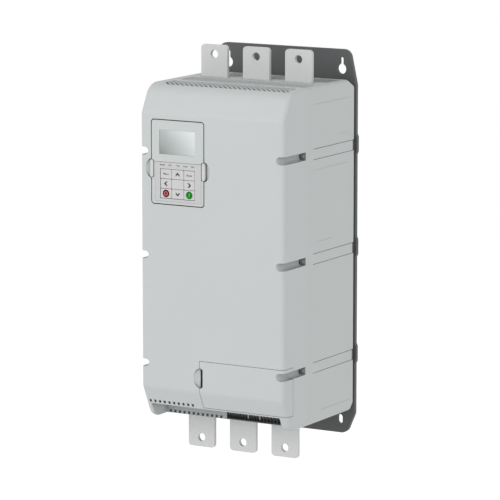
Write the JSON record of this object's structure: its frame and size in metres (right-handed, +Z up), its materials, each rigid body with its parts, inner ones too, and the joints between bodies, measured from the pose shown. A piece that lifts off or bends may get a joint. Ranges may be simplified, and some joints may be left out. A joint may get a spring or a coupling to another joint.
{
  "type": "motor soft starter",
  "caption": "Wall-mounted motor soft starter: upright grey moulded housing with keypad, hinged terminal cover, slotted vents, and flat busbars at top and bottom.",
  "frame": {"origin": "centre of the wall plate, on its rear face", "axes": "+X to the right as seen from the front, +Y towards the wall, +Z up; the front faces -Y"},
  "size_m": [0.2204, 0.1973, 0.536],
  "materials": {
    "plate_paint": "matt powder coat",
    "sink_aluminium": "extruded",
    "housing_plastic": "fine texture",
    "tray_plastic": "fine texture",
    "zinc_steel": "zinc plated",
    "tinned_bar": "satin tin plate",
    "black_plastic": "satin",
    "board_laminate": "solder mask",
    "keypad_plastic": "satin",
    "clear_window": "clear",
    "display": "gloss",
    "key_plastic": "satin",
    "latch_plastic": "satin"
  },
  "bodies": {
    "housing": {"board_posts_front": "zinc_steel", "board_posts_rear": "zinc_steel", "board_screws": "zinc_steel", "busbar_bolts": "zinc_steel", "bypass_contactor_1": "black_plastic", "bypass_contactor_2": "black_plastic", "bypass_contactor_3": "black_plastic", "control_board": "board_laminate", "control_tray": "tray_plastic", "cover_screws": "zinc_steel", "current_transformer_1": "black_plastic", "current_transformer_2": "black_plastic", "current_transformer_3": "black_plastic", "display_module": "display", "display_window": "clear_window", "fan_frame_1": "black_plastic", "fan_frame_2": "black_plastic", "front_cover": "housing_plastic", "gate_board": "board_laminate", "heat_sink": "sink_aluminium", "hinge_pin": "zinc_steel", "key_blank": "key_plastic", "keypad_back": "keypad_plastic", "keypad_bezel": "keypad_plastic", "keypad_board": "board_laminate", "line_busbar_1": "tinned_bar", "line_busbar_2": "tinned_bar", "line_busbar_3": "tinned_bar", "load_busbar_1": "tinned_bar", "load_busbar_2": "tinned_bar", "load_busbar_3": "tinned_bar", "module_screws": "zinc_steel", "mounting_plate": "plate_paint", "plate_screws": "zinc_steel", "rear_housing": "housing_plastic", "terminal_header": "black_plastic", "terminal_plug_1": "black_plastic", "terminal_plug_2": "black_plastic", "terminal_plug_3": "black_plastic", "thyristor_module_1": "black_plastic", "thyristor_module_2": "black_plastic", "thyristor_module_3": "black_plastic"},
    "key_menu": {"key_menu": "key_plastic"},
    "key_up": {"key_up": "key_plastic"},
    "key_reset": {"key_reset": "key_plastic"},
    "key_left": {"key_left": "key_plastic"},
    "key_right": {"key_right": "key_plastic"},
    "key_stop": {"key_stop": "key_plastic"},
    "key_down": {"key_down": "key_plastic"},
    "key_start": {"key_start": "key_plastic"},
    "latch_left": {"latch_left": "latch_plastic"},
    "latch_right": {"latch_right": "latch_plastic"},
    "terminal_cover": {"terminal_cover": "housing_plastic"},
    "fan_rotor_1": {"fan_rotor_1": "black_plastic"},
    "fan_rotor_2": {"fan_rotor_2": "black_plastic"}
  },
  "joints": [
    {"name": "key_menu_press", "type": "slide", "parent": "housing", "child": "key_menu", "axis": [0, 1, 0], "range_m": [0, 0.0005], "stiffness_N_per_m": 500, "springref_m": -0.0005},
    {"name": "key_up_press", "type": "slide", "parent": "housing", "child": "key_up", "axis": [0, 1, 0], "range_m": [0, 0.0005], "stiffness_N_per_m": 500, "springref_m": -0.0005},
    {"name": "key_reset_press", "type": "slide", "parent": "housing", "child": "key_reset", "axis": [0, 1, 0], "range_m": [0, 0.0005], "stiffness_N_per_m": 500, "springref_m": -0.0005},
    {"name": "key_left_press", "type": "slide", "parent": "housing", "child": "key_left", "axis": [0, 1, 0], "range_m": [0, 0.0005], "stiffness_N_per_m": 500, "springref_m": -0.0005},
    {"name": "key_right_press", "type": "slide", "parent": "housing", "child": "key_right", "axis": [0, 1, 0], "range_m": [0, 0.0005], "stiffness_N_per_m": 500, "springref_m": -0.0005},
    {"name": "key_stop_press", "type": "slide", "parent": "housing", "child": "key_stop", "axis": [0, 1, 0], "range_m": [0, 0.0005], "stiffness_N_per_m": 500, "springref_m": -0.0005},
    {"name": "key_down_press", "type": "slide", "parent": "housing", "child": "key_down", "axis": [0, 1, 0], "range_m": [0, 0.0005], "stiffness_N_per_m": 500, "springref_m": -0.0005},
    {"name": "key_start_press", "type": "slide", "parent": "housing", "child": "key_start", "axis": [0, 1, 0], "range_m": [0, 0.0005], "stiffness_N_per_m": 500, "springref_m": -0.0005},
    {"name": "latch_left_squeeze", "type": "slide", "parent": "housing", "child": "latch_left", "axis": [1, 0, 0], "range_m": [0, 0.0008], "stiffness_N_per_m": 600, "springref_m": -0.0005},
    {"name": "latch_right_squeeze", "type": "slide", "parent": "housing", "child": "latch_right", "axis": [-1, 0, 0], "range_m": [0, 0.0008], "stiffness_N_per_m": 600, "springref_m": -0.0005},
    {"name": "terminal_cover_hinge", "type": "hinge", "parent": "housing", "child": "terminal_cover", "pos_m": [0.105, -0.176, -0.18], "axis": [0, 0, 1], "range_deg": [0, 100]},
    {"name": "fan_rotor_1_spin", "type": "hinge", "parent": "housing", "child": "fan_rotor_1", "pos_m": [-0.045, -0.064, -0.209], "axis": [0, 0, 1], "continuous": true},
    {"name": "fan_rotor_2_spin", "type": "hinge", "parent": "housing", "child": "fan_rotor_2", "pos_m": [0.045, -0.064, -0.209], "axis": [0, 0, 1], "continuous": true}
  ]
}
